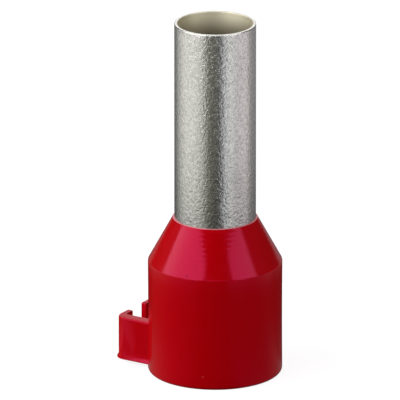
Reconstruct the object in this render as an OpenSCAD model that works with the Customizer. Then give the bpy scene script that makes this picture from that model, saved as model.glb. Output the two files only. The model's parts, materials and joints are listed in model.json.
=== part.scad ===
// Insulated wire ferrule, 10 mm2 size, with a clip for a marker tag.
// Two pieces: a flared, tinned copper sleeve, and a moulded collar that carries the clip.
// Millimetres. +Z runs from the mouth to the tip, with the origin on the axis in the
// plane of the mouth. The clip points along -X.

/* [Contact sleeve] */
// Inner diameter of the sleeve, which takes the bare strands
sleeve_bore_d = 4.5; // [3.9:0.1:4.9]
// Wall of the copper tube
sleeve_wall = 0.2; // [0.12:0.01:0.3]
// Length of sleeve that stands out of the collar
sleeve_reach = 12.18; // [8:0.01:20]
// Rounding left on the tip's two edges by tumbling
tip_round = 0.05; // [0.02:0.01:0.06]
// How far the flared end spreads, on the radius
flare_spread = 0.65; // [0.3:0.05:0.9]
// Half-angle of the flare and of the funnel that it sits in
flare_angle = 45; // [35:1:50]
// How far the flaring punch widens the tube between the nose and the flare, on the radius
seat_taper = 0.05; // [0.02:0.01:0.12]
// Play between the sleeve and its seat in the collar, pressed tight at 0
seat_play = 0; // [0:0.01:0.03]

/* [Insulating collar] */
// Inner diameter at the mouth, which takes the insulated wire
insulation_bore_d = 7.2; // [7:0.1:9]
// Depth of that bore, from the mouth to the funnel
insulation_depth = 6; // [4:0.1:6.2]
// Wall of the straight skirt
collar_wall = 0.44; // [0.3:0.01:0.8]
// Height of the skirt, from the mouth to the shoulder
skirt_h = 6.95; // [6.5:0.05:9]
// Height of the cone, from the shoulder to the nose
cone_h = 2.75; // [2:0.05:5]
// Thickness of the nose where it closes on the sleeve
nose_wall = 0.09; // [0.05:0.01:0.3]
// Rounding of the outer edge at the mouth
mouth_round = 0.25; // [0.05:0.01:0.28]
// Rounding of the shoulder
shoulder_round = 0.2; // [0.05:0.05:1]

/* [Tag clip] */
// Overall width of the clip
clip_w = 4.5; // [3.6:0.1:5.5]
// How far the clip stands out from the skirt
clip_reach = 1.7; // [1.2:0.05:2.5]
// Height of the clip, with its floor
clip_h = 2.62; // [1.5:0.02:5]
// Height of the clip's underside above the mouth
clip_lift = 0.36; // [0.3:0.02:1.2]
// Thickness of the two side walls
clip_wall = 0.74; // [0.4:0.02:0.9]
// Thickness of the two lips that hold the tag in
lip_t = 0.38; // [0.2:0.02:0.6]
// Gap between the lips, through which the tag is read
lip_gap = 1.48; // [0.6:0.02:1.8]
// Radius of the clip's outer upright corners
clip_corner = 0.66; // [0.3:0.02:0.9]
// Radius of the corners inside the slot
slot_corner = 0.15; // [0.05:0.01:0.25]
// Thickness of the floor, on which the tag stops
floor_t = 0.22; // [0.12:0.01:0.6]
// How far the floor's edge stands out from the walls
floor_edge = 0.09; // [0.02:0.01:0.2]

/* [Hidden] */
$fn = 96;
ARC_STEPS = 6;

sleeve_in_r = sleeve_bore_d / 2;
sleeve_out_r = sleeve_in_r + sleeve_wall;
flare_r = sleeve_out_r + flare_spread;
bore_r = insulation_bore_d / 2;
skirt_r = bore_r + collar_wall;
nose_z = skirt_h + cone_h;
nose_r = sleeve_out_r + seat_play + nose_wall;
tip_z = nose_z + sleeve_reach;
cone_angle = atan((skirt_r - nose_r) / cone_h);
clip_face_x = skirt_r + clip_reach;

// Height at radius r of the funnel's surface, and of the flare's outer side one wall above it
function funnel_z(r) = insulation_depth + (bore_r - r) / tan(flare_angle);
function flare_top_z(r, play = 0) = funnel_z(r) + (sleeve_wall + play) / sin(flare_angle);

// Points of an arc about a centre, from one angle to another
function arc(centre, r, from, to) =
    [for (i = [0 : ARC_STEPS]) let (a = from + (to - from) * i / ARC_STEPS)
        centre + r * [cos(a), sin(a)]];

// Tube with a rounded tip. Below the nose it widens slightly, and its end is spread into a flare.
module contact_sleeve() {
    bend_in_r = sleeve_in_r + seat_taper;
    bend_out_r = sleeve_out_r + seat_taper;
    color("silver")
        rotate_extrude()
            polygon(concat(
                [[sleeve_in_r, nose_z],
                 [bend_in_r, funnel_z(bend_in_r)],
                 [flare_r, funnel_z(flare_r)],
                 [flare_r, flare_top_z(flare_r)],
                 [bend_out_r, flare_top_z(bend_out_r)],
                 [sleeve_out_r, nose_z]],
                arc([sleeve_out_r - tip_round, tip_z - tip_round], tip_round, 0, 90),
                arc([sleeve_in_r + tip_round, tip_z - tip_round], tip_round, 90, 180)));
}

// Skirt, cone and nose outside; insulation bore, funnel, step and sleeve seat inside.
// The step hides the edge of the flare, so that no strand catches on it.
module collar_body() {
    grip_r = sleeve_out_r + seat_play;
    bend_r = grip_r + seat_taper;
    step_r = flare_r + seat_play;
    rotate_extrude()
        polygon(concat(
            [[bore_r, 0]],
            arc([skirt_r - mouth_round, mouth_round], mouth_round, -90, 0),
            arc([skirt_r - shoulder_round, skirt_h - shoulder_round * tan(cone_angle / 2)],
                shoulder_round, 0, cone_angle),
            [[nose_r, nose_z],
             [grip_r, nose_z],
             [bend_r, flare_top_z(bend_r, seat_play)],
             [step_r, flare_top_z(step_r, seat_play)],
             [step_r, funnel_z(step_r)],
             [bore_r, funnel_z(bore_r)]]));
}

// Slab from the axis out to x = -reach, centred on y = 0, with its far corners rounded
module rounded_end(reach, width, r) {
    translate([-reach + r, -width / 2])
        square([reach - r, width]);
    translate([-reach, -width / 2 + r])
        square([r, width - 2 * r]);
    for (side = [-1, 1])
        translate([-reach + r, side * (width / 2 - r)])
            circle(r);
}

// C-shaped channel on the skirt, open at the top and closed by a floor with a small edge.
// The tag slides down behind the two lips, and shows through the gap between them.
module tag_clip() {
    slot_w = clip_w - 2 * clip_wall;
    root_r = (bore_r + skirt_r) / 2;
    difference() {
        union() {
            translate([0, 0, clip_lift])
                linear_extrude(clip_h)
                    rounded_end(clip_face_x, clip_w, clip_corner);
            translate([0, 0, clip_lift])
                linear_extrude(floor_t)
                    rounded_end(clip_face_x + floor_edge, clip_w + 2 * floor_edge,
                                clip_corner + floor_edge);
        }
        translate([0, 0, clip_lift + floor_t])
            linear_extrude(clip_h)
                rounded_end(clip_face_x - lip_t, slot_w, slot_corner);
        translate([-clip_face_x - 1, -lip_gap / 2, clip_lift + floor_t])
            cube([clip_reach + 1, lip_gap, clip_h]);
        translate([0, 0, clip_lift - 1])
            cylinder(r = root_r, h = clip_h + 2);
        translate([0, -clip_w, clip_lift - 1])
            cube([skirt_r, 2 * clip_w, clip_h + 2]);
    }
}

module insulating_collar() {
    color("crimson") {
        collar_body();
        tag_clip();
    }
}

contact_sleeve();
insulating_collar();
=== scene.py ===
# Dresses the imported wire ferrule: a sleeve of tumbled, tinned copper in a collar of moulded
# polypropylene, which carries a clip for a marker tag. Lengths are in metres, the frame is the
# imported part's own: +Z from the mouth to the tip, and the clip along -X.
import json
import math

import bmesh
import bpy
from bpy.props import FloatProperty, FloatVectorProperty, PointerProperty
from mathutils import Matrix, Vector


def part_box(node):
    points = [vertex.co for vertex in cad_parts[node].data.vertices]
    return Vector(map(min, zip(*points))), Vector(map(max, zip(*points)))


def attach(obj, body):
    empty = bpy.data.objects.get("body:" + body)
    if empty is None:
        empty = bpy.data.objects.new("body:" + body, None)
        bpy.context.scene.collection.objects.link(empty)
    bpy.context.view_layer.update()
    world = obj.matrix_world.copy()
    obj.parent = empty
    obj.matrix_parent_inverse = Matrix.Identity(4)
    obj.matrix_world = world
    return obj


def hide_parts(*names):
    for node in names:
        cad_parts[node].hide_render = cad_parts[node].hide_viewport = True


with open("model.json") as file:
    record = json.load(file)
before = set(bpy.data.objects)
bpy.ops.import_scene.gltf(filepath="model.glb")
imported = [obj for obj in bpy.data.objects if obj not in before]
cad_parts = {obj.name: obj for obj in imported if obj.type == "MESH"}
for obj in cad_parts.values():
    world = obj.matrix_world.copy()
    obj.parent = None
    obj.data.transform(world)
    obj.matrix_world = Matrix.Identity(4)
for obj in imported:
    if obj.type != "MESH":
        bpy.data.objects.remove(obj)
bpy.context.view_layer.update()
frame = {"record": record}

bl_info = {
    "name": "Insulated Wire Ferrule",
    "version": (1, 0, 0),
    "blender": (4, 5, 0),
    "location": "View3D > Sidebar > Ferrule",
    "description": "Builds a tinned copper wire ferrule with a moulded collar and a tag clip",
    "category": "Add Mesh",
}

MM = 0.001
SLEEVE_LOW, SLEEVE_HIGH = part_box("contact_sleeve")
COLLAR_LOW, COLLAR_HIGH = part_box("insulating_collar")
MOUNTS = {mount["name"]: mount for mount in frame["record"]["mounts"]}
BORE = MOUNTS["conductor_bore"]["dims"]
PIN = MOUNTS["contact_sleeve_outside"]["dims"]
MOUTH = MOUNTS["insulation_bore"]["dims"]
FLOOR_EDGE = 0.09 * MM

SQUARE = math.radians(90)
FUNNEL_TURN = math.radians(45)
SMOOTH_ANGLE = math.radians(38)
SPIN_STEPS = 256
# Steps in a rounding: edges of the nose, lips and clip, then bends, the mouth, and uprights
EDGE_STEPS = 3
BEND_STEPS = 4
MOUTH_STEPS = 6
UPRIGHT_STEPS = 8
SINK_CUTS = 7
ROOT_POINTS = 9
# Lengths that differ by less are the same, and points that lie closer are welded
SAME_PLACE = 0.001 * MM
WELD = 0.0002 * MM

# Centre in mm, radius in mm and colour of the moulding's small marks: a dark speck of dirt
# above the shoulder, and a pale nick above the mouth
BLEMISHES = (((0.48, -3.91, 7.1), 0.075, "5A0410"), ((1.49, -3.75, 0.86), 0.07, "D8404C"))

# Bearings are in degrees to the camera's right, seen from the ferrule, and elevations above
# the horizon. Each lamp has a bearing, an elevation, a distance, a size, a radiance, and the
# kind of light it gives none of, if any
LAMPS = (
    ("left_softbox", -64, 27, 0.30, (0.44, 0.22), 2.9, None),
    ("right_softbox", 55, 26, 0.30, (0.22, 0.19), 2.3, None),
    ("back_softbox", 180, 45, 0.40, (0.50, 0.30), 0.4, None),
    ("left_fill", -105, 20, 0.30, (0.30, 0.18), 1.8, "visible_glossy"),
    ("right_fill", 100, 20, 0.30, (0.30, 0.18), 0.9, "visible_glossy"),
    ("front_card", -12, 18, 0.30, (0.40, 0.07), 1.7, "visible_diffuse"),
)
# White cards behind and overhead that only reflections show: bearing and elevation of the
# middle, and the cosines of the angles from it at which the card begins and is full
REFLECTED_CARDS = ((180, 30, 0.78, 0.9), (0, 90, 0.77, 0.88))
# Bearing, and the tone that stands there all round the set in reflections
SET_TONES = (
    (-180, "626363"), (-140, "7A7C7A"), (-115, "D2D3D0"), (-92, "FFFFFC"), (-60, "FFFFFC"),
    (-45, "EAEBE7"), (-32, "D2D2CD"), (-24, "7C7D73"), (-6, "6E6F66"), (15, "424344"),
    (26, "ECF0F8"), (42, "FFFFFF"), (60, "DAD7DD"), (98, "F6EEF1"), (108, "A8A6A7"),
    (130, "98969B"), (180, "848488"),
)
# Distance on the floor in mm, and how bright the card is there in reflections: painted shade makes
# it darker near the ferrule
FLOOR_TONES = (
    (0, "808080"), (8, "6C6C6C"), (14, "4A4A4A"), (20, "4A4A4A"), (31, "C6C6C6"), (60, "FFFFFF"),
)
FLOOR_REACH = 100 * MM

# Sockets that share a name on their node, by their place: the operands of Math, Vector Math
# and Add Shader; the factor, inputs and results of Mix; and the shaders of Mix Shader
FIRST, SECOND = 0, 1
FACTOR = 0
NUMBER_A, NUMBER_B = 2, 3
COLOUR_A, COLOUR_B = 6, 7
MIXED_NUMBER, MIXED_COLOUR = 0, 2
SHADER_A, SHADER_B = 1, 2


# ---------------------------------------------------------------- settings

def length(name, description, default):
    """A length property in metres."""
    return FloatProperty(name=name, description=description, default=default, min=0.0,
                         unit="LENGTH", subtype="DISTANCE", precision=6)


def hex_colour(code):
    """Linear red, green and blue of an sRGB hex value."""
    channels = [int(code[i:i + 2], 16) / 255 for i in (0, 2, 4)]
    return [c / 12.92 if c <= 0.04045 else ((c + 0.055) / 1.055) ** 2.4 for c in channels]


def colour(name, description, code):
    """A colour property whose default is an sRGB hex value."""
    return FloatVectorProperty(name=name, description=description, subtype="COLOR", size=3,
                               min=0.0, max=1.0, default=hex_colour(code))


class SleeveSettings(bpy.types.PropertyGroup):
    """Sizes and colours of the contact sleeve"""
    bore_radius: length("Bore radius", "Inside of the tube", BORE["r_mm"] * MM)
    outer_radius: length("Outer radius", "Outside of the tube", PIN["r_mm"] * MM)
    tip_height: length("Tip height", "Top of the sleeve above the mouth", SLEEVE_HIGH.z)
    foot_height: length("Foot height", "Lower end of the flare above the mouth", SLEEVE_LOW.z)
    flare_radius: length("Flare radius", "Rim of the flared end", SLEEVE_HIGH.x)
    seat_taper: length("Seat taper", "Widening of the tube between nose and flare", 0.05 * MM)
    tip_round: length("Tip rounding", "Radius that tumbling leaves on the tip's edges", 0.07 * MM)
    bend_round: length("Bend rounding", "Radius of the bend where the flare begins", 0.2 * MM)
    tin: colour("Tin", "Bare tin plating, where it is clean", "E3E2DD")
    bloom: colour("Bloom", "Tin plating where tumbling has dulled it", "AFAEA9")
    tarnish: colour("Tarnish", "Tin plating inside the tube's tip", "DED8C2")
    # Tarnish and painted shade: the darker tone deep in the tube stands in for the shade in the bore
    deep_tarnish_and_shade: colour("Deep tarnish and shade", "Tin plating deep inside the tube", "8E8874")


class CollarSettings(bpy.types.PropertyGroup):
    """Sizes and colours of the insulating collar"""
    bore_radius: length("Bore radius", "Inside of the skirt", MOUTH["r_mm"] * MM)
    bore_depth: length("Bore depth", "Depth of the skirt's bore", MOUTH["length_mm"] * MM)
    skirt_radius: length("Skirt radius", "Outside of the skirt", COLLAR_HIGH.x)
    skirt_height: length("Skirt height", "Shoulder above the mouth", 6.95 * MM)
    nose_height: length("Nose height", "Top of the cone above the mouth", COLLAR_HIGH.z)
    nose_wall: length("Nose wall", "Thickness of the nose round the sleeve", 0.09 * MM)
    mouth_round: length("Mouth rounding", "Radius of the mouth's outer edge", 0.25 * MM)
    shoulder_round: length("Shoulder rounding", "Radius of the shoulder", 0.2 * MM)
    nose_round: length("Nose rounding", "Radius of the nose's outer edge", 0.055 * MM)
    sink: length("Sink", "Waist left in the skirt as the moulding cools", 0.015 * MM)
    plastic: colour("Plastic", "Red pigment of the moulding", "BE0008")
    # Pale colour painted along the nose's top edge: a painted highlight
    rim_highlight: colour("Rim highlight", "Painted highlight along the nose's edge on the sleeve", "E08C92")
    gloss: colour("Gloss", "Tint of the moulding's gloss", "FF58A0")


class ClipSettings(bpy.types.PropertyGroup):
    """Sizes of the tag clip on the collar"""
    width: length("Width", "Overall width of the clip", 4.5 * MM)
    face: length("Face", "Outer face of the lips, from the axis", -COLLAR_LOW.x - FLOOR_EDGE)
    height: length("Height", "Height of the clip with its floor", 2.62 * MM)
    lift: length("Lift", "Underside of the clip above the mouth", 0.36 * MM)
    wall: length("Wall", "Thickness of the side walls", 0.74 * MM)
    lip: length("Lip", "Thickness of the lips", 0.38 * MM)
    gap: length("Gap", "Gap between the lips", 1.48 * MM)
    corner: length("Corner", "Radius of the outer upright corners", 0.66 * MM)
    slot_corner: length("Slot corner", "Radius of the corners inside the slot", 0.15 * MM)
    floor: length("Floor", "Thickness of the floor", 0.22 * MM)
    floor_edge: length("Floor edge", "How far the floor stands out from the walls", FLOOR_EDGE)
    edge_round: length("Edge rounding", "Radius of the clip's upper edges", 0.08 * MM)
    lip_round: length("Lip rounding", "Radius of the lips' upright edges", 0.06 * MM)
    floor_lip: length("Floor lip", "Height of the floor's upright edge", 0.07 * MM)


class StudioSettings(bpy.types.PropertyGroup):
    """Camera, floor and the level of the light"""
    azimuth: FloatProperty(name="Azimuth", description="Camera's bearing, 0 looks along +Y",
                           default=math.radians(32.2), subtype="ANGLE", unit="ROTATION")
    elevation: FloatProperty(name="Elevation", description="Camera's height above the horizon",
                             default=math.radians(18.5), subtype="ANGLE", unit="ROTATION")
    distance: length("Distance", "From the camera to the ferrule", 0.966)
    view_width: length("View width", "Width that the view covers at the ferrule", 23.98 * MM)
    aim_height: length("Aim height", "Height that the camera looks at", 10.72 * MM)
    aim_left: length("Aim left", "How far left of the axis the camera looks", 0.908 * MM)
    floor_size: length("Floor size", "Width of the floor", 1.2)
    floor_tone: colour("Floor", "Light that the card throws back", "909090")
    floor_lift: FloatProperty(name="Floor lift", description="Glow that the camera sees in the card",
                              default=0.88, min=0.0)
    ambient: FloatProperty(name="Ambient", description="Light from all round", default=0.03, min=0.0)
    dim_studio: FloatProperty(name="Dim studio", description="Brightness between the cards",
                              default=0.084, min=0.0)
    white_cards: FloatProperty(name="White cards", description="Brightness of the cards overhead "
                               "and behind", default=1.1, min=0.0)


# ---------------------------------------------------------------- mesh helpers

def deselect_all():
    """Leaves edit mode and clears the selection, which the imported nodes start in."""
    if bpy.context.object and bpy.context.object.mode != "OBJECT":
        bpy.ops.object.mode_set(mode="OBJECT")
    bpy.ops.object.select_all(action="DESELECT")


def pick(piece, kind, wanted):
    """In edit mode, selects the points (VERT), edges or faces for which wanted says yes."""
    bpy.ops.mesh.select_mode(type=kind)
    bpy.ops.mesh.select_all(action="DESELECT")
    mesh = bmesh.from_edit_mesh(piece.data)
    for item in {"VERT": mesh.verts, "EDGE": mesh.edges, "FACE": mesh.faces}[kind]:
        if wanted(item):
            item.select_set(True)
    mesh.select_flush_mode()
    bmesh.update_edit_mesh(piece.data)


def near(value, target):
    """Whether two lengths are the same, but for rounding."""
    return abs(value - target) < SAME_PLACE


def at(place):
    """Test for the point of an outline that lies at a place."""
    return lambda point: (point.co - Vector(place)).length < SAME_PLACE


def level_at(height):
    """Test for an edge or a face that lies at a height all over."""
    return lambda item: all(near(point.co.z, height) for point in item.verts)


def draw_outline(name, places):
    """Draws a closed outline from a ring with one point for each place."""
    deselect_all()
    bpy.ops.mesh.primitive_circle_add(vertices=len(places), radius=MM)
    piece = bpy.context.object
    piece.name = name
    piece.data.name = name
    bpy.ops.object.mode_set(mode="EDIT")
    for index, place in enumerate(places):
        pick(piece, "VERT", lambda point: point.index == index)
        start = next(v.co.copy() for v in bmesh.from_edit_mesh(piece.data).verts if v.select)
        bpy.ops.transform.translate(value=Vector(place) - start)
    return piece


def round_corner(piece, place, radius, turn, steps):
    """Rounds one corner of an outline, where its sides turn through an angle."""
    pick(piece, "VERT", at(place))
    bpy.ops.mesh.bevel(offset=radius * math.tan(turn / 2), offset_type="OFFSET",
                       segments=steps, affect="VERTICES")


def raise_outline(piece, height):
    """Fills an outline and raises it into a solid. Gives the height of its top."""
    bpy.ops.mesh.select_all(action="SELECT")
    bpy.ops.mesh.edge_face_add()
    bpy.ops.mesh.extrude_region_move(TRANSFORM_OT_translate={"value": (0, 0, height)})
    bpy.ops.mesh.select_all(action="SELECT")
    bpy.ops.mesh.normals_make_consistent(inside=False)
    return max(v.co.z for v in bmesh.from_edit_mesh(piece.data).verts)


def round_top(piece, top, radius):
    """Rounds the edge round the top of a raised outline."""
    pick(piece, "EDGE", level_at(top))
    bpy.ops.mesh.bevel(offset=radius, offset_type="OFFSET", segments=EDGE_STEPS, affect="EDGES")
    bpy.ops.object.mode_set(mode="OBJECT")


def flare_top(piece, top, width, height):
    """Raises the top of a raised outline further, drawing it in all round."""
    pick(piece, "FACE", level_at(top))
    bpy.ops.mesh.inset(thickness=width, depth=height)
    bpy.ops.object.mode_set(mode="OBJECT")


def spin_outline(piece):
    """Spins an outline round the Z axis into a closed, outward-facing skin."""
    bpy.ops.mesh.select_mode(type="EDGE")
    bpy.ops.mesh.select_all(action="SELECT")
    bpy.ops.mesh.spin(steps=SPIN_STEPS, angle=math.tau, center=(0, 0, 0), axis=(0, 0, 1))
    bpy.ops.mesh.select_all(action="SELECT")
    bpy.ops.mesh.remove_doubles(threshold=WELD)
    bpy.ops.mesh.normals_make_consistent(inside=False)
    bpy.ops.object.mode_set(mode="OBJECT")


def join_on(piece, part):
    """Unites a part with a piece, and removes the part."""
    deselect_all()
    bpy.context.view_layer.objects.active = piece
    piece.select_set(True)
    union = piece.modifiers.new("union", "BOOLEAN")
    union.operation = "UNION"
    union.solver = "EXACT"
    union.object = part
    bpy.ops.object.modifier_apply(modifier=union.name)
    bpy.data.objects.remove(part, do_unlink=True)


def smooth(piece):
    """Smooth shading that keeps the edges sharper than a fillet's steps."""
    deselect_all()
    piece.select_set(True)
    bpy.context.view_layer.objects.active = piece
    bpy.ops.object.shade_smooth_by_angle(angle=SMOOTH_ANGLE)


def dress(piece, node, material):
    """Puts a finish on a piece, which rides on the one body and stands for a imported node."""
    piece.data.materials.clear()
    piece.data.materials.append(material)
    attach(piece, "root")
    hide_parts(node)


def on_funnel(foot, radius, rise=0.0):
    """Place at a radius on the slope of 45 degrees that starts at a foot's radius and height."""
    foot_radius, foot_height = foot
    return radius, 0, foot_height + foot_radius - radius + rise


def wall_on_funnel(sleeve):
    """How thick the sleeve's wall is along Z, where it lies in the funnel."""
    return (sleeve.outer_radius - sleeve.bore_radius) * math.sqrt(2)


# ---------------------------------------------------------------- finishes

def add_node(material, kind, settings=None, links=None):
    """Adds a shader node, gives it settings, and links its inputs from other nodes' outputs."""
    node = material.node_tree.nodes.new(kind)
    for name, value in (settings or {}).items():
        if isinstance(name, int) or name in node.inputs:
            node.inputs[name].default_value = value
        else:
            setattr(node, name, value)
    for name, output in (links or {}).items():
        material.node_tree.links.new(output, node.inputs[name])
    return node


def new_material(name):
    """An empty node material and its object coordinates, in metres."""
    material = bpy.data.materials.new(name)
    material.use_nodes = True
    material.node_tree.nodes.clear()
    place = add_node(material, "ShaderNodeTexCoord")
    return material, place.outputs["Object"]


def finish_material(material, shader):
    """Links a shader to the material's surface."""
    add_node(material, "ShaderNodeOutputMaterial", links={"Surface": shader})
    return material


def tumbled_tinned_copper(sleeve):
    """Electroplated tin on drawn copper, tumbled in bulk: satin outside, with a fine grain of
    dents that sparkles where it breaks up a reflection. Inside it is duller and warmer, because
    tumbling doesn't reach there."""
    material, place = new_material("tumbled_tinned_copper")
    # The real grain is about 0.03 mm across, too fine to show, so grain and specks are drawn
    # coarser. Larger dents and dull patches have their real size.
    grain_size = 0.14 * MM
    grain_depth = 0.026 * MM
    speck_size = 0.16 * MM
    dent_size = 0.5 * MM
    dent_depth = 0.013 * MM
    patch_size = 2.2 * MM
    # The inside darkens from here downwards: painted shade in the bore, over the tarnish
    tarnish_and_shade_from = sleeve.tip_height - 0.3 * MM
    tarnish_and_shade_full = sleeve.tip_height - 1.6 * MM
    drawn = add_node(material, "ShaderNodeVectorMath",
                     {"operation": "MULTIPLY", SECOND: (1.0, 1.0, 0.85)}, {FIRST: place})
    along = drawn.outputs["Vector"]
    grain = add_node(material, "ShaderNodeTexNoise",
                     {"Scale": 1 / grain_size, "Detail": 2.0, "Roughness": 0.6}, {"Vector": along})
    dents = add_node(material, "ShaderNodeTexNoise",
                     {"Scale": 1 / dent_size, "Detail": 2.0, "Roughness": 0.5}, {"Vector": along})
    patches = add_node(material, "ShaderNodeTexNoise",
                       {"Scale": 1 / patch_size, "Detail": 4.0, "Roughness": 0.6},
                       {"Vector": place})
    specks = add_node(material, "ShaderNodeTexNoise",
                      {"Scale": 1 / speck_size, "Detail": 1.0, "noise_dimensions": "4D", "W": 3.0},
                      {"Vector": along})

    # Inside and outside are told apart at the middle of the wall
    flat = add_node(material, "ShaderNodeVectorMath",
                    {"operation": "MULTIPLY", SECOND: (1.0, 1.0, 0.0)}, {FIRST: place})
    reach = add_node(material, "ShaderNodeVectorMath", {"operation": "LENGTH"},
                     {FIRST: flat.outputs["Vector"]})
    mid_wall = (sleeve.bore_radius + sleeve.outer_radius) / 2
    inside = add_node(material, "ShaderNodeMapRange",
                      {"From Min": mid_wall, "From Max": sleeve.bore_radius},
                      {"Value": reach.outputs["Value"]})
    outside = add_node(material, "ShaderNodeMath", {"operation": "SUBTRACT", FIRST: 1.0},
                       {SECOND: inside.outputs["Result"]})

    # Outside: clean tin, dulled in patches and specks
    dullness = add_node(material, "ShaderNodeMapRange",
                        {"From Min": 0.45, "From Max": 0.7, "To Min": 0.0, "To Max": 0.5},
                        {"Value": patches.outputs["Fac"]})
    speckled = add_node(material, "ShaderNodeMapRange",
                        {"From Min": 0.35, "From Max": 0.7, "To Min": 0.0, "To Max": 0.65},
                        {"Value": specks.outputs["Fac"]})
    mottled = add_node(material, "ShaderNodeMath", {"operation": "MAXIMUM"},
                       {FIRST: dullness.outputs["Result"], SECOND: speckled.outputs["Result"]})
    clean = add_node(material, "ShaderNodeMix",
                     {"data_type": "RGBA", COLOUR_A: (*sleeve.tin, 1.0),
                      COLOUR_B: (*sleeve.bloom, 1.0)}, {FACTOR: mottled.outputs["Value"]})

    # Inside: tarnish, with painted shade that darkens it further below the tip
    height = add_node(material, "ShaderNodeSeparateXYZ", links={"Vector": place})
    depth = add_node(material, "ShaderNodeMapRange",
                     {"From Min": tarnish_and_shade_from, "From Max": tarnish_and_shade_full},
                     {"Value": height.outputs["Z"]})
    tarnish = add_node(material, "ShaderNodeMix",
                       {"data_type": "RGBA", COLOUR_A: (*sleeve.tarnish, 1.0),
                        COLOUR_B: (*sleeve.deep_tarnish_and_shade, 1.0)},
                       {FACTOR: depth.outputs["Result"]})
    tone = add_node(material, "ShaderNodeMix", {"data_type": "RGBA"},
                    {FACTOR: inside.outputs["Result"], COLOUR_A: clean.outputs[MIXED_COLOUR],
                     COLOUR_B: tarnish.outputs[MIXED_COLOUR]})

    satin = add_node(material, "ShaderNodeMapRange",
                     {"From Min": 0.35, "From Max": 0.65, "To Min": 0.18, "To Max": 0.28},
                     {"Value": grain.outputs["Fac"]})
    roughness = add_node(material, "ShaderNodeMix", {NUMBER_B: 0.55},
                         {FACTOR: inside.outputs["Result"], NUMBER_A: satin.outputs["Result"]})
    dented = add_node(material, "ShaderNodeBump", {"Distance": dent_depth},
                      {"Height": dents.outputs["Fac"], "Strength": outside.outputs["Value"]})
    grained = add_node(material, "ShaderNodeBump", {"Distance": grain_depth},
                       {"Height": grain.outputs["Fac"], "Strength": outside.outputs["Value"],
                        "Normal": dented.outputs["Normal"]})
    shader = add_node(material, "ShaderNodeBsdfPrincipled", {"Metallic": 1.0},
                      {"Base Color": tone.outputs[MIXED_COLOUR],
                       "Roughness": roughness.outputs[MIXED_NUMBER],
                       "Normal": grained.outputs["Normal"]})
    return finish_material(material, shader.outputs["BSDF"])


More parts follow.
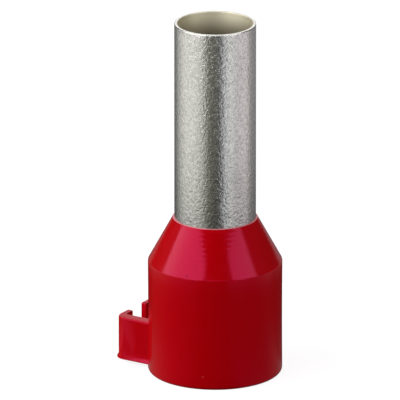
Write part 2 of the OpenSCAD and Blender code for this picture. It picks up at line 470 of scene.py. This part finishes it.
def moulded_polypropylene(collar):
    """Injection-moulded, pigmented polypropylene: glossy, faintly waxy, with the fine rings that
    the turned mould leaves on the cone, and matt on the clip's top, where the mould was milled."""
    material, place = new_material("moulded_red_polypropylene")
    # A turning tool leaves rings about 0.1 mm apart and a milling cutter marks about 0.05 mm
    # apart. Both are too fine to show, so they are drawn coarser.
    ring_pitch = 0.26 * MM
    ring_depth = 0.0021 * MM
    ring_fade = 0.1 * MM
    milling_size = 0.15 * MM
    milling_depth = 0.04 * MM
    ripple_size = 1.1 * MM
    ripple_depth = 0.02 * MM
    # Band at the top of the nose that takes the painted highlight
    highlight_from = collar.nose_height - 0.018 * MM
    highlight_full = collar.nose_height - 0.006 * MM
    # A Wave texture of scale 1 repeats this often in one unit
    waves_per_unit = 20 / math.tau
    height = add_node(material, "ShaderNodeSeparateXYZ", links={"Vector": place})
    ripple = add_node(material, "ShaderNodeTexNoise",
                      {"Scale": 1 / ripple_size, "Detail": 2.0, "Roughness": 0.4},
                      {"Vector": place})
    waxy = add_node(material, "ShaderNodeBump", {"Strength": 0.12, "Distance": ripple_depth},
                    {"Height": ripple.outputs["Fac"]})

    # Rings, on the cone alone
    rings = add_node(material, "ShaderNodeTexWave",
                     {"wave_type": "BANDS", "bands_direction": "Z", "wave_profile": "SIN",
                      "Scale": 1 / (ring_pitch * waves_per_unit), "Distortion": 0.6,
                      "Detail": 2.0, "Detail Scale": 0.3}, {"Vector": place})
    on_cone = add_node(material, "ShaderNodeMapRange",
                       {"From Min": collar.skirt_height,
                        "From Max": collar.skirt_height + ring_fade},
                       {"Value": height.outputs["Z"]})
    under_nose = add_node(material, "ShaderNodeMapRange",
                          {"From Min": collar.nose_height,
                           "From Max": collar.nose_height - ring_fade},
                          {"Value": height.outputs["Z"]})
    band = add_node(material, "ShaderNodeMath", {"operation": "MULTIPLY"},
                    {FIRST: on_cone.outputs["Result"], SECOND: under_nose.outputs["Result"]})
    ring_height = add_node(material, "ShaderNodeMath", {"operation": "MULTIPLY"},
                           {FIRST: rings.outputs["Fac"], SECOND: band.outputs["Value"]})
    turned = add_node(material, "ShaderNodeBump", {"Distance": ring_depth},
                      {"Height": ring_height.outputs["Value"], "Normal": waxy.outputs["Normal"]})

    # Milling marks, on faces that look up
    facing = add_node(material, "ShaderNodeNewGeometry")
    upward = add_node(material, "ShaderNodeSeparateXYZ", links={"Vector": facing.outputs["Normal"]})
    on_top = add_node(material, "ShaderNodeMapRange", {"From Min": 0.9, "From Max": 0.99},
                      {"Value": upward.outputs["Z"]})
    milling = add_node(material, "ShaderNodeTexNoise", {"Scale": 1 / milling_size, "Detail": 1.0},
                       {"Vector": place})
    milled = add_node(material, "ShaderNodeBump", {"Distance": milling_depth},
                      {"Height": milling.outputs["Fac"], "Strength": on_top.outputs["Result"],
                       "Normal": turned.outputs["Normal"]})
    glossy = add_node(material, "ShaderNodeMapRange",
                      {"From Min": 0.3, "From Max": 0.7, "To Min": 0.13, "To Max": 0.19},
                      {"Value": ripple.outputs["Fac"]})
    roughness = add_node(material, "ShaderNodeMix", {NUMBER_B: 0.5},
                         {FACTOR: on_top.outputs["Result"], NUMBER_A: glossy.outputs["Result"]})

    # Red, with a painted highlight as a pale band along the top edge of the nose, and the two small
    # marks
    at_nose = add_node(material, "ShaderNodeMapRange",
                       {"From Min": highlight_from, "From Max": highlight_full},
                       {"Value": height.outputs["Z"]})
    tone = add_node(material, "ShaderNodeMix",
                    {"data_type": "RGBA", COLOUR_A: (*collar.plastic, 1.0),
                     COLOUR_B: (*collar.rim_highlight, 1.0)}, {FACTOR: at_nose.outputs["Result"]})
    for centre, radius, mark in BLEMISHES:
        away = add_node(material, "ShaderNodeVectorMath",
                        {"operation": "DISTANCE", SECOND: Vector(centre) * MM}, {FIRST: place})
        on_mark = add_node(material, "ShaderNodeMapRange",
                           {"From Min": radius * MM, "From Max": radius * MM / 2},
                           {"Value": away.outputs["Value"]})
        tone = add_node(material, "ShaderNodeMix",
                        {"data_type": "RGBA", COLOUR_B: (*hex_colour(mark), 1.0)},
                        {FACTOR: on_mark.outputs["Result"],
                         COLOUR_A: tone.outputs[MIXED_COLOUR]})
    shader = add_node(material, "ShaderNodeBsdfPrincipled",
                      {"IOR": 1.49, "Specular IOR Level": 0.7,
                       "Specular Tint": (*collar.gloss, 1.0)},
                      {"Base Color": tone.outputs[MIXED_COLOUR],
                       "Roughness": roughness.outputs[MIXED_NUMBER],
                       "Normal": milled.outputs["Normal"]})
    return finish_material(material, shader.outputs["BSDF"])


def put_tones(ramp, tones, position):
    """Writes tones on a colour ramp. Position turns their own scale into one from 0 to 1."""
    stops = ramp.color_ramp.elements
    for _ in range(len(tones) - len(stops)):
        stops.new(0.5)
    for stop, (place, tone) in zip(stops, tones):
        stop.position = position(place)
        stop.color = (*hex_colour(tone), 1.0)


def tones_round_the_set(material, place, azimuth):
    """The grey that a mirror at the ferrule would show in each direction: white cards to the left
    and right, the dark side of the studio towards the camera, and grey behind."""
    turned = add_node(material, "ShaderNodeMapping",
                      {"vector_type": "POINT", "Rotation": (0, 0, SQUARE - azimuth)},
                      {"Vector": place})
    bearing = add_node(material, "ShaderNodeTexGradient", {"gradient_type": "RADIAL"},
                       {"Vector": turned.outputs["Vector"]})
    tones = add_node(material, "ShaderNodeValToRGB", links={"Fac": bearing.outputs["Fac"]})
    put_tones(tones, SET_TONES, lambda degrees: degrees / 360 + 0.5)
    return tones.outputs["Color"]


def white_card(studio):
    """Matt white card: shows as the white background, and darkens only in the shadow."""
    material, place = new_material("matt_white_card")
    path = add_node(material, "ShaderNodeLightPath")
    card = add_node(material, "ShaderNodeBsdfDiffuse", {"Color": (*studio.floor_tone, 1.0)})
    lift = add_node(material, "ShaderNodeEmission", {"Strength": studio.floor_lift})
    seen = add_node(material, "ShaderNodeMixShader",
                    links={"Fac": path.outputs["Is Camera Ray"],
                           SHADER_B: lift.outputs["Emission"]})
    to_camera = add_node(material, "ShaderNodeAddShader",
                         links={FIRST: card.outputs["BSDF"], SECOND: seen.outputs["Shader"]})

    # In reflections the card takes the tones of the set, with painted shade that darkens it near the
    # ferrule
    tones = tones_round_the_set(material, place, studio.azimuth)
    reach = add_node(material, "ShaderNodeVectorMath", {"operation": "LENGTH"}, {FIRST: place})
    share = add_node(material, "ShaderNodeMath", {"operation": "DIVIDE", SECOND: FLOOR_REACH},
                     {FIRST: reach.outputs["Value"]})
    shade = add_node(material, "ShaderNodeValToRGB", links={"Fac": share.outputs["Value"]})
    put_tones(shade, FLOOR_TONES, lambda distance: distance * MM / FLOOR_REACH)
    reflected = add_node(material, "ShaderNodeEmission",
                         links={"Color": tones, "Strength": shade.outputs["Color"]})
    surface = add_node(material, "ShaderNodeMixShader", links={
        "Fac": path.outputs["Is Glossy Ray"], SHADER_A: to_camera.outputs["Shader"],
        SHADER_B: reflected.outputs["Emission"]})
    return finish_material(material, surface.outputs["Shader"])


# ---------------------------------------------------------------- pieces

class FERRULE_OT_contact_sleeve(bpy.types.Operator):
    """Spin the tinned copper sleeve, with its rounded tip and its flared end"""
    bl_idname = "ferrule.contact_sleeve"
    bl_label = "Contact Sleeve"

    def execute(self, context):
        sleeve = context.scene.ferrule_sleeve
        nose_height = context.scene.ferrule_collar.nose_height
        foot = (sleeve.flare_radius, sleeve.foot_height)
        thick = wall_on_funnel(sleeve)
        bend_in = on_funnel(foot, sleeve.bore_radius + sleeve.seat_taper)
        bend_out = on_funnel(foot, sleeve.outer_radius + sleeve.seat_taper, thick)
        tip_out = (sleeve.outer_radius, 0, sleeve.tip_height)
        tip_in = (sleeve.bore_radius, 0, sleeve.tip_height)
        piece = draw_outline("contact_sleeve_tube", [
            (sleeve.bore_radius, 0, nose_height), bend_in,
            on_funnel(foot, sleeve.flare_radius), on_funnel(foot, sleeve.flare_radius, thick),
            bend_out, (sleeve.outer_radius, 0, nose_height), tip_out, tip_in])
        for corner in (tip_out, tip_in):
            round_corner(piece, corner, sleeve.tip_round, SQUARE, BEND_STEPS)
        for corner in (bend_in, bend_out):
            round_corner(piece, corner, sleeve.bend_round, FUNNEL_TURN, BEND_STEPS)
        spin_outline(piece)
        smooth(piece)
        dress(piece, "contact_sleeve", tumbled_tinned_copper(sleeve))
        return {"FINISHED"}


class FERRULE_OT_insulating_collar(bpy.types.Operator):
    """Spin the collar, and mould the tag clip onto its skirt"""
    bl_idname = "ferrule.insulating_collar"
    bl_label = "Insulating Collar"

    def execute(self, context):
        collar = context.scene.ferrule_collar
        piece = self.spin_body(collar, context.scene.ferrule_sleeve)
        for part in self.tag_clip(collar, context.scene.ferrule_clip):
            join_on(piece, part)
        if min(v.co.x for v in piece.data.vertices) > COLLAR_LOW.x + 0.01 * MM:
            raise RuntimeError("The tag clip did not join the collar")
        smooth(piece)
        dress(piece, "insulating_collar", moulded_polypropylene(collar))
        return {"FINISHED"}

    def spin_body(self, collar, sleeve):
        """Skirt, cone and nose outside; bore, funnel, step and sleeve seat inside."""
        foot = (collar.bore_radius, collar.bore_depth)
        thick = wall_on_funnel(sleeve)
        nose_radius = sleeve.outer_radius + collar.nose_wall
        cone_turn = math.atan2(collar.skirt_radius - nose_radius,
                               collar.nose_height - collar.skirt_height)
        mouth = (collar.skirt_radius, 0, 0)
        shoulder = (collar.skirt_radius, 0, collar.skirt_height)
        nose = (nose_radius, 0, collar.nose_height)
        piece = draw_outline("collar_and_clip", [
            (collar.bore_radius, 0, 0), mouth, shoulder, nose,
            (sleeve.outer_radius, 0, collar.nose_height),
            on_funnel(foot, sleeve.outer_radius + sleeve.seat_taper, thick),
            on_funnel(foot, sleeve.flare_radius, thick), on_funnel(foot, sleeve.flare_radius),
            on_funnel(foot, collar.bore_radius)])
        round_corner(piece, mouth, collar.mouth_round, SQUARE, MOUTH_STEPS)
        round_corner(piece, shoulder, collar.shoulder_round, cone_turn, BEND_STEPS)
        round_corner(piece, nose, collar.nose_round, SQUARE - cone_turn, EDGE_STEPS)
        self.sink_skirt(piece, collar)
        spin_outline(piece)
        return piece

    def sink_skirt(self, piece, collar):
        """Draws the skirt's straight side in at its middle."""
        radius = collar.skirt_radius
        pick(piece, "EDGE", lambda edge: all(near(v.co.x, radius) for v in edge.verts)
             and abs(edge.verts[0].co.z - edge.verts[1].co.z) > collar.skirt_height / 2)
        bpy.ops.mesh.subdivide(number_cuts=SINK_CUTS)
        levels = [v.co.z for v in bmesh.from_edit_mesh(piece.data).verts
                  if near(v.co.x, radius)]
        low, high = min(levels), max(levels)
        for level in levels:
            depth = collar.sink * math.sin(math.pi * (level - low) / (high - low))
            pick(piece, "VERT", at((radius, 0, level)))
            bpy.ops.transform.translate(value=(-depth, 0, 0))

    def tag_clip(self, collar, clip):
        """The two side walls with their lips, and the floor that joins them. Each is raised from
        its plan, and rooted in the thickness of the skirt."""
        root_radius = (collar.bore_radius + collar.skirt_radius) / 2
        wall_foot = clip.lift + clip.floor / 2
        face = -clip.face
        back = clip.lip - clip.face

        def root(y, z):
            return -math.sqrt(root_radius ** 2 - y ** 2), y, z

        parts = []
        for side in (-1, 1):
            outer = side * clip.width / 2
            inner = side * (clip.width / 2 - clip.wall)
            lip = side * clip.gap / 2
            corners = {
                (face, outer, wall_foot): (clip.corner, UPRIGHT_STEPS),
                (face, lip, wall_foot): (clip.lip_round, EDGE_STEPS),
                (back, lip, wall_foot): (clip.lip_round, EDGE_STEPS),
                (back, inner, wall_foot): (clip.slot_corner, BEND_STEPS),
            }
            wall = draw_outline("clip_wall", [root(outer, wall_foot), *corners,
                                              root(inner, wall_foot)])
            for corner, (radius, steps) in corners.items():
                round_corner(wall, corner, radius, SQUARE, steps)
            top = raise_outline(wall, clip.lift + clip.height - wall_foot)
            round_top(wall, top, clip.edge_round)
            parts.append(wall)

        half = clip.width / 2 + clip.floor_edge
        step = 2 * half / (ROOT_POINTS - 1)
        root_points = [root(half - step * index, clip.lift) for index in range(ROOT_POINTS)]
        far_corners = [(face - clip.floor_edge, side * half, clip.lift) for side in (-1, 1)]
        floor = draw_outline("clip_floor", root_points + far_corners)
        for corner in far_corners:
            round_corner(floor, corner, clip.corner + clip.floor_edge, SQUARE, UPRIGHT_STEPS)
        top = raise_outline(floor, clip.floor_lip)
        flare_top(floor, top, clip.floor_edge, clip.floor - clip.floor_lip)
        return parts + [floor]


class FERRULE_OT_studio(bpy.types.Operator):
    """Set the camera, the soft lamps, the cards and the white floor"""
    bl_idname = "ferrule.studio"
    bl_label = "Studio"

    def execute(self, context):
        studio = context.scene.ferrule_studio
        self.camera(context, studio)
        for lamp in LAMPS:
            self.soft_lamp(context, studio, *lamp)
        self.floor(studio)
        self.surroundings(context, studio)
        context.scene.view_settings.view_transform = "Standard"
        return {"FINISHED"}

    def direction(self, studio, bearing, elevation):
        """Unit vector from the ferrule, at a bearing to the right of the camera."""
        turn = studio.azimuth - SQUARE + math.radians(bearing)
        rise = math.radians(elevation)
        return Vector((math.cos(rise) * math.cos(turn), math.cos(rise) * math.sin(turn),
                       math.sin(rise)))

    def camera(self, context, studio):
        """A long lens, so that the view is nearly parallel."""
        back = self.direction(studio, 0, math.degrees(studio.elevation))
        right = self.direction(studio, 90, 0)
        aim = Vector((0, 0, studio.aim_height)) - right * studio.aim_left
        data = bpy.data.cameras.new("camera")
        data.lens = data.sensor_width * studio.distance / studio.view_width
        data.clip_start = 0.01
        data.clip_end = 10.0
        camera = bpy.data.objects.new("camera", data)
        camera.location = aim + back * studio.distance
        camera.rotation_euler = back.to_track_quat("Z", "Y").to_euler()
        context.collection.objects.link(camera)
        context.scene.camera = camera

    def soft_lamp(self, context, studio, name, bearing, elevation, distance, size, radiance,
                  absent):
        """A rectangular softbox, aimed at the ferrule, whose face has a given brightness."""
        data = bpy.data.lights.new(name, "AREA")
        data.shape = "RECTANGLE"
        data.size, data.size_y = size
        data.energy = radiance * math.pi * data.size * data.size_y
        lamp = bpy.data.objects.new(name, data)
        back = self.direction(studio, bearing, elevation)
        lamp.location = Vector((0, 0, studio.aim_height)) + back * distance
        lamp.rotation_euler = back.to_track_quat("Z", "Y").to_euler()
        lamp.visible_camera = False
        if absent:
            setattr(lamp, absent, False)
        context.collection.objects.link(lamp)

    def floor(self, studio):
        """A square of white card under the ferrule."""
        deselect_all()
        bpy.ops.mesh.primitive_plane_add(size=studio.floor_size, location=(0, 0, 0))
        floor = bpy.context.object
        floor.name = "floor"
        floor.data.materials.append(white_card(studio))

    def reflected_card(self, world, place, middle, edge, full):
        """1 in the directions round a card's middle, falling to 0 at its edge, by cosines."""
        facing = add_node(world, "ShaderNodeVectorMath",
                          {"operation": "DOT_PRODUCT", SECOND: middle}, {FIRST: place})
        inside = add_node(world, "ShaderNodeMapRange", {"From Min": edge, "From Max": full},
                          {"Value": facing.outputs["Value"]})
        return inside.outputs["Result"]

    def surroundings(self, context, studio):
        """White to the camera, the tones round the set in reflections, and a dim light."""
        world = bpy.data.worlds.new("surroundings")
        context.scene.world = world
        world.use_nodes = True
        world.node_tree.nodes.clear()
        path = add_node(world, "ShaderNodeLightPath")
        place = add_node(world, "ShaderNodeTexCoord").outputs["Generated"]
        tones = tones_round_the_set(world, place, studio.azimuth)
        toned = add_node(world, "ShaderNodeBackground", {"Strength": studio.dim_studio},
                         {"Color": tones})
        behind, overhead = [
            self.reflected_card(world, place, self.direction(studio, bearing, elevation),
                                edge, full)
            for bearing, elevation, edge, full in REFLECTED_CARDS]
        on_card = add_node(world, "ShaderNodeMath", {"operation": "MAXIMUM"},
                           {FIRST: behind, SECOND: overhead})
        cards = add_node(world, "ShaderNodeBackground",
                         {"Color": (1, 1, 1, 1), "Strength": studio.white_cards})
        reflected = add_node(world, "ShaderNodeMixShader", links={
            "Fac": on_card.outputs["Value"], SHADER_A: toned.outputs["Background"],
            SHADER_B: cards.outputs["Background"]})
        dim = add_node(world, "ShaderNodeBackground",
                       {"Color": (1, 1, 1, 1), "Strength": studio.ambient})
        lit = add_node(world, "ShaderNodeMixShader", links={
            "Fac": path.outputs["Is Glossy Ray"], SHADER_A: dim.outputs["Background"],
            SHADER_B: reflected.outputs["Shader"]})
        white = add_node(world, "ShaderNodeBackground", {"Color": (1, 1, 1, 1)})
        sky = add_node(world, "ShaderNodeMixShader", links={
            "Fac": path.outputs["Is Camera Ray"], SHADER_A: lit.outputs["Shader"],
            SHADER_B: white.outputs["Background"]})
        add_node(world, "ShaderNodeOutputWorld", links={"Surface": sky.outputs["Shader"]})


class FERRULE_PT_panel(bpy.types.Panel):
    """Lists the ferrule's pieces and their settings"""
    bl_idname = "FERRULE_PT_panel"
    bl_label = "Wire Ferrule"
    bl_space_type = "VIEW_3D"
    bl_region_type = "UI"
    bl_category = "Ferrule"

    def draw(self, context):
        layout = self.layout
        for operator, settings in PARTS:
            box = layout.box()
            box.operator(operator.bl_idname)
            for name in settings:
                group = getattr(context.scene, name)
                for prop in group.bl_rna.properties:
                    if prop.identifier not in ("rna_type", "name"):
                        box.prop(group, prop.identifier)


PARTS = (
    (FERRULE_OT_contact_sleeve, ["ferrule_sleeve"]),
    (FERRULE_OT_insulating_collar, ["ferrule_collar", "ferrule_clip"]),
    (FERRULE_OT_studio, ["ferrule_studio"]),
)
SETTINGS = {
    "ferrule_sleeve": SleeveSettings,
    "ferrule_collar": CollarSettings,
    "ferrule_clip": ClipSettings,
    "ferrule_studio": StudioSettings,
}
CLASSES = (*SETTINGS.values(), *(operator for operator, _settings in PARTS), FERRULE_PT_panel)


def register():
    for cls in CLASSES:
        bpy.utils.register_class(cls)
    for name, cls in SETTINGS.items():
        setattr(bpy.types.Scene, name, PointerProperty(type=cls))


def unregister():
    for name in SETTINGS:
        delattr(bpy.types.Scene, name)
    for cls in reversed(CLASSES):
        bpy.utils.unregister_class(cls)


def main():
    register()
    bpy.ops.ferrule.contact_sleeve()
    bpy.ops.ferrule.insulating_collar()
    bpy.ops.ferrule.studio()


if __name__ == "__main__":
    main()
